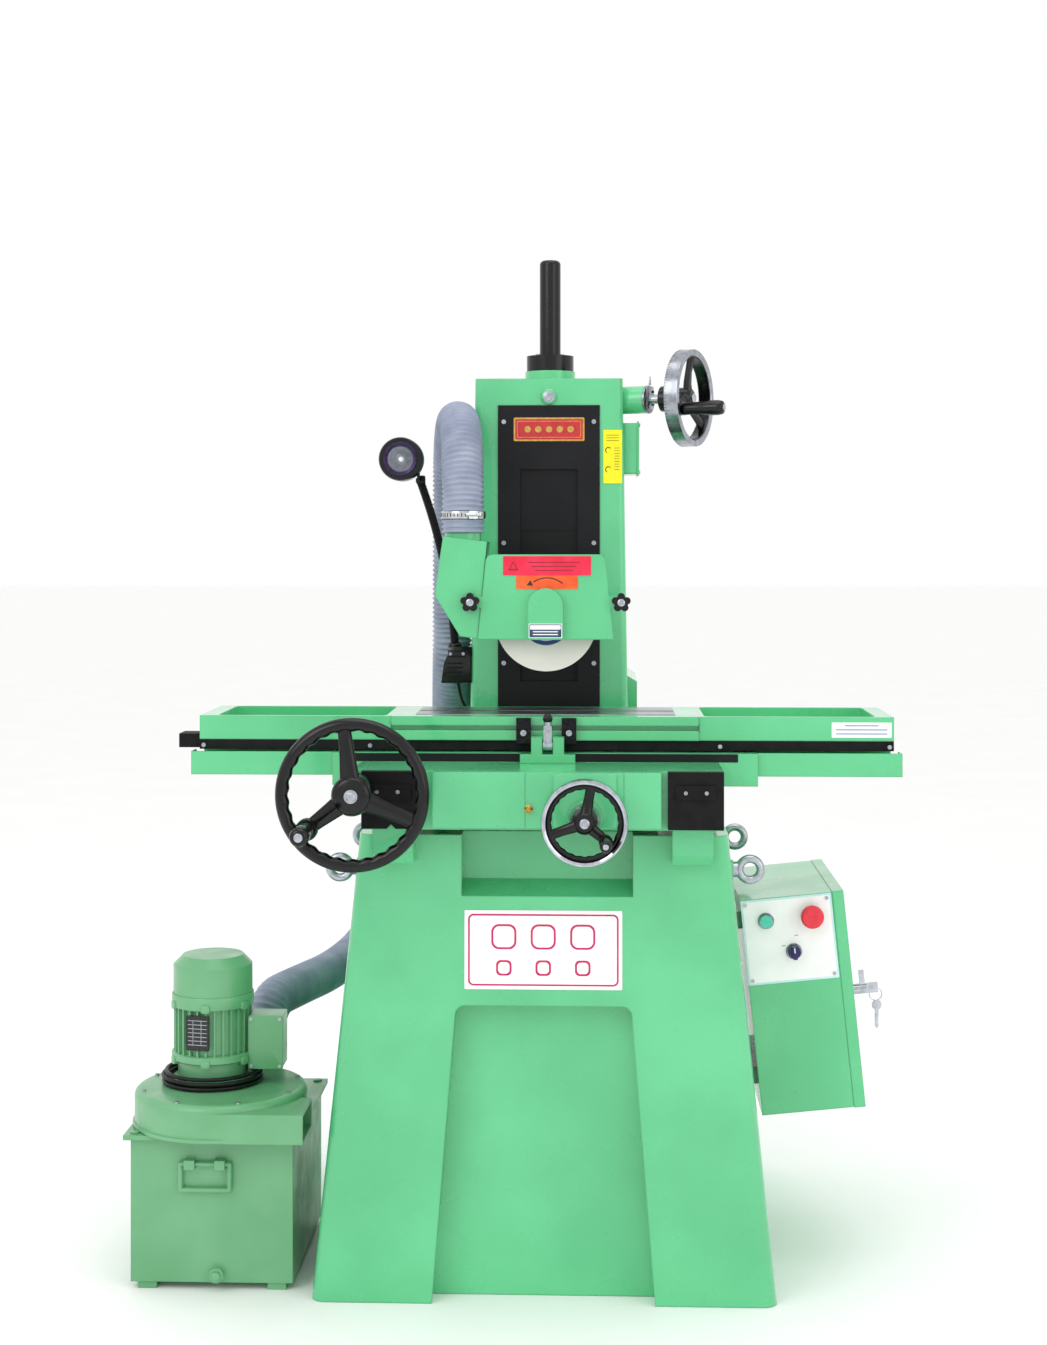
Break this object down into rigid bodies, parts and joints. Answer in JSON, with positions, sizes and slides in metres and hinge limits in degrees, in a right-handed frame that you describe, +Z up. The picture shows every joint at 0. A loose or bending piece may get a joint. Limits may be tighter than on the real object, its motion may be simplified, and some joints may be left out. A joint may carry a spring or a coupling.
{
  "type": "surface grinder",
  "caption": "Manual surface grinder on a tapered cast base, with a traversing table, three handwheels, a raised wheel head, work lamp, electric cabinet and dust collector.",
  "frame": {"origin": "on the floor, midway between the four anchor holes of the base", "axes": "+X to the operator's right along the table's travel, +Y away from the operator, +Z up"},
  "size_m": [1.327, 1.1523, 1.815],
  "materials": {
    "green_paint": "gloss",
    "collector_paint": "gloss",
    "cast_iron": "machined",
    "ground_steel": "ground",
    "steel": "satin",
    "chrome": "polished",
    "black_plastic": "gloss",
    "black_sheet": "satin",
    "rubber": "matte",
    "abrasive": "matte",
    "hose_pvc": "satin",
    "cable_jacket": "satin",
    "brass": "machined",
    "green_button": "gloss",
    "red_button": "gloss",
    "blue_knob": "gloss",
    "painted": "satin",
    "cast_aluminium": "cast"
  },
  "bodies": {
    "base": {"base_casting": "green_paint", "lifting_eyes": "steel", "column_casting": "green_paint", "column_front_cover": "black_sheet", "screw_top_cover": "black_plastic", "elevating_shaft_housing": "green_paint", "cross_feed_nut": "brass", "electric_cabinet": "green_paint", "lamp_arm": "rubber", "lamp_cable": "cable_jacket", "suction_hose_lower": "hose_pvc", "collector_tank": "collector_paint", "collector_lid": "collector_paint", "collector_volute": "collector_paint", "collector_motor": "collector_paint", "motor_lead_coil": "cable_jacket", "motor_lead_tail": "cable_jacket"},
    "saddle": {"saddle_casting": "green_paint", "way_wipers": "rubber", "drip_tray": "green_paint", "stop_bracket": "green_paint"},
    "table": {"table_casting": "green_paint", "work_plate": "ground_steel", "table_wiper_strip": "rubber", "table_rack": "steel"},
    "dog_left": {"stop_dog_left": "steel"},
    "dog_right": {"stop_dog_right": "steel"},
    "stop_tongue": {"stop_lever": "steel"},
    "table_wheel": {"table_handwheel": "black_plastic", "table_handwheel_shaft": "steel"},
    "table_grip": {"table_handwheel_grip": "black_plastic"},
    "cross_wheel": {"cross_handwheel": "chrome", "cross_feed_screw": "steel"},
    "cross_grip": {"cross_handwheel_grip": "black_plastic"},
    "elevating_wheel": {"elevating_handwheel": "chrome", "elevating_shaft": "steel"},
    "elevating_grip": {"elevating_handwheel_grip": "black_plastic"},
    "elevating_nut": {"elevating_nut_gear": "steel"},
    "head": {"wheel_head_slide": "cast_iron", "elevating_screw": "steel", "spindle_motor": "painted", "slot_cover_main": "black_sheet", "wheel_guard": "green_paint", "dust_duct": "green_paint", "suction_hose_upper": "hose_pvc"},
    "upper_leaf": {"slot_cover_upper": "black_sheet"},
    "spindle": {"spindle_shaft": "steel", "wheel_flange": "steel", "grinding_wheel": "abrasive"},
    "guard_front": {"guard_cover": "green_paint"},
    "knob_left": {"guard_knob_left": "black_plastic"},
    "knob_right": {"guard_knob_right": "black_plastic"},
    "cabinet_front": {"cabinet_door": "green_paint"},
    "door_lock": {"cabinet_lock": "chrome"},
    "start": {"start_button": "green_button"},
    "stop": {"stop_button": "red_button"},
    "selector": {"selector_switch": "blue_knob"},
    "lamp": {"lamp_head": "black_plastic"},
    "fan": {"collector_rotor": "cast_aluminium"},
    "bail": {"bail_handle": "steel"}
  },
  "joints": [
    {"name": "saddle_cross_feed", "type": "slide", "parent": "base", "child": "saddle", "axis": [0, 1, 0], "range_m": [-0.1, 0.08]},
    {"name": "table_traverse", "type": "slide", "parent": "saddle", "child": "table", "axis": [1, 0, 0], "range_m": [-0.235, 0.235]},
    {"name": "table_handwheel_turn", "type": "hinge", "parent": "saddle", "child": "table_wheel", "pos_m": [-0.304, -0.535, 0.867], "axis": [0, 1, 0], "range_deg": [-847, 847]},
    {"name": "table_grip_spin", "type": "hinge", "parent": "table_wheel", "child": "table_grip", "pos_m": [-0.37668, -0.58, 0.81224], "axis": [0, 1, 0], "continuous": true},
    {"name": "cross_handwheel_turn", "type": "hinge", "parent": "saddle", "child": "cross_wheel", "pos_m": [0.07, -0.53, 0.824], "axis": [0, 1, 0], "range_deg": [-7201, 5761]},
    {"name": "cross_grip_spin", "type": "hinge", "parent": "cross_wheel", "child": "cross_grip", "pos_m": [0.10371, -0.57, 0.79572], "axis": [0, 1, 0], "continuous": true},
    {"name": "elevating_handwheel_turn", "type": "hinge", "parent": "base", "child": "elevating_wheel", "pos_m": [0, 0.112, 1.542], "axis": [-0.9063, 0.4226, 0], "range_deg": [-9360, 30960]},
    {"name": "elevating_grip_spin", "type": "hinge", "parent": "elevating_wheel", "child": "elevating_grip", "pos_m": [-0.02282, 0.06306, 1.519], "axis": [0.9063, -0.4226, 0], "continuous": true},
    {"name": "elevating_nut_turn", "type": "hinge", "parent": "base", "child": "elevating_nut", "pos_m": [0, 0.112, 1.5], "axis": [0, 0, 1], "range_deg": [-30960, 9360]},
    {"name": "head_elevate", "type": "slide", "parent": "base", "child": "head", "axis": [0, 0, 1], "range_m": [-0.065, 0.215], "deforming": ["suction_hose_upper", "suction_hose_lower"]},
    {"name": "slot_leaf_slide", "type": "slide", "parent": "base", "child": "upper_leaf", "axis": [0, 0, 1], "range_m": [-0.0325, 0.1075]},
    {"name": "spindle_spin", "type": "hinge", "parent": "head", "child": "spindle", "pos_m": [0, -0.2, 1.1365], "axis": [0, 1, 0], "continuous": true},
    {"name": "guard_cover_off", "type": "slide", "parent": "head", "child": "guard_front", "axis": [0, -1, 0], "range_m": [0, 0.06]},
    {"name": "guard_knob_left_turn", "type": "hinge", "parent": "guard_front", "child": "knob_left", "pos_m": [-0.132, -0.24, 1.169], "axis": [0, 1, 0], "continuous": true},
    {"name": "guard_knob_right_turn", "type": "hinge", "parent": "guard_front", "child": "knob_right", "pos_m": [0.132, -0.24, 1.169], "axis": [0, 1, 0], "continuous": true},
    {"name": "stop_dog_left_set", "type": "slide", "parent": "table", "child": "dog_left", "axis": [1, 0, 0], "range_m": [-0.2, 0.012]},
    {"name": "stop_dog_right_set", "type": "slide", "parent": "table", "child": "dog_right", "axis": [1, 0, 0], "range_m": [-0.012, 0.2]},
    {"name": "stop_lever_swing", "type": "hinge", "parent": "saddle", "child": "stop_tongue", "pos_m": [0.006, -0.334, 0.927], "axis": [-1, 0, 0], "range_deg": [0, 20]},
    {"name": "cabinet_door_swing", "type": "hinge", "parent": "base", "child": "cabinet_front", "pos_m": [0.52739, 0.116, 0.48001], "axis": [-0.1028, 0, 0.9947], "range_deg": [0, 110]},
    {"name": "door_lock_turn", "type": "hinge", "parent": "cabinet_front", "child": "door_lock", "pos_m": [0.54149, -0.205, 0.48951], "axis": [0.9947, 0, 0.1028], "range_deg": [0, 90]},
    {"name": "start_button_press", "type": "slide", "parent": "base", "child": "start", "axis": [0, 1, 0], "range_m": [0, 0.004], "stiffness_N_per_m": 500},
    {"name": "stop_button_press", "type": "slide", "parent": "base", "child": "stop", "axis": [0, 1, 0], "range_m": [0, 0.005], "stiffness_N_per_m": 800},
    {"name": "selector_turn", "type": "hinge", "parent": "base", "child": "selector", "pos_m": [0.43239, -0.24, 0.56269], "axis": [0, 1, 0], "range_deg": [-45, 45]},
    {"name": "lamp_tilt", "type": "hinge", "parent": "base", "child": "lamp", "pos_m": [-0.236, -0.058, 1.388], "axis": [1, 0, 0], "range_deg": [-25, 25]},
    {"name": "collector_fan_spin", "type": "hinge", "parent": "base", "child": "fan", "pos_m": [-0.587, -0.23, 0.4], "axis": [0, 0, 1], "continuous": true},
    {"name": "bail_swing", "type": "hinge", "parent": "base", "child": "bail", "pos_m": [-0.577, -0.357, 0.216], "axis": [-1, 0, 0], "range_deg": [0, 90]}
  ],
  "couplings": [
    {"joint": "table_handwheel_turn", "follows": "table_traverse", "rad_per_m": 62.832},
    {"joint": "cross_handwheel_turn", "follows": "saddle_cross_feed", "rad_per_m": 1256.6},
    {"joint": "head_elevate", "follows": "elevating_handwheel_turn", "m_per_rad": 0.00039789},
    {"joint": "elevating_nut_turn", "follows": "elevating_handwheel_turn", "ratio": -1},
    {"joint": "slot_leaf_slide", "follows": "elevating_handwheel_turn", "m_per_rad": 0.00019894}
  ]
}
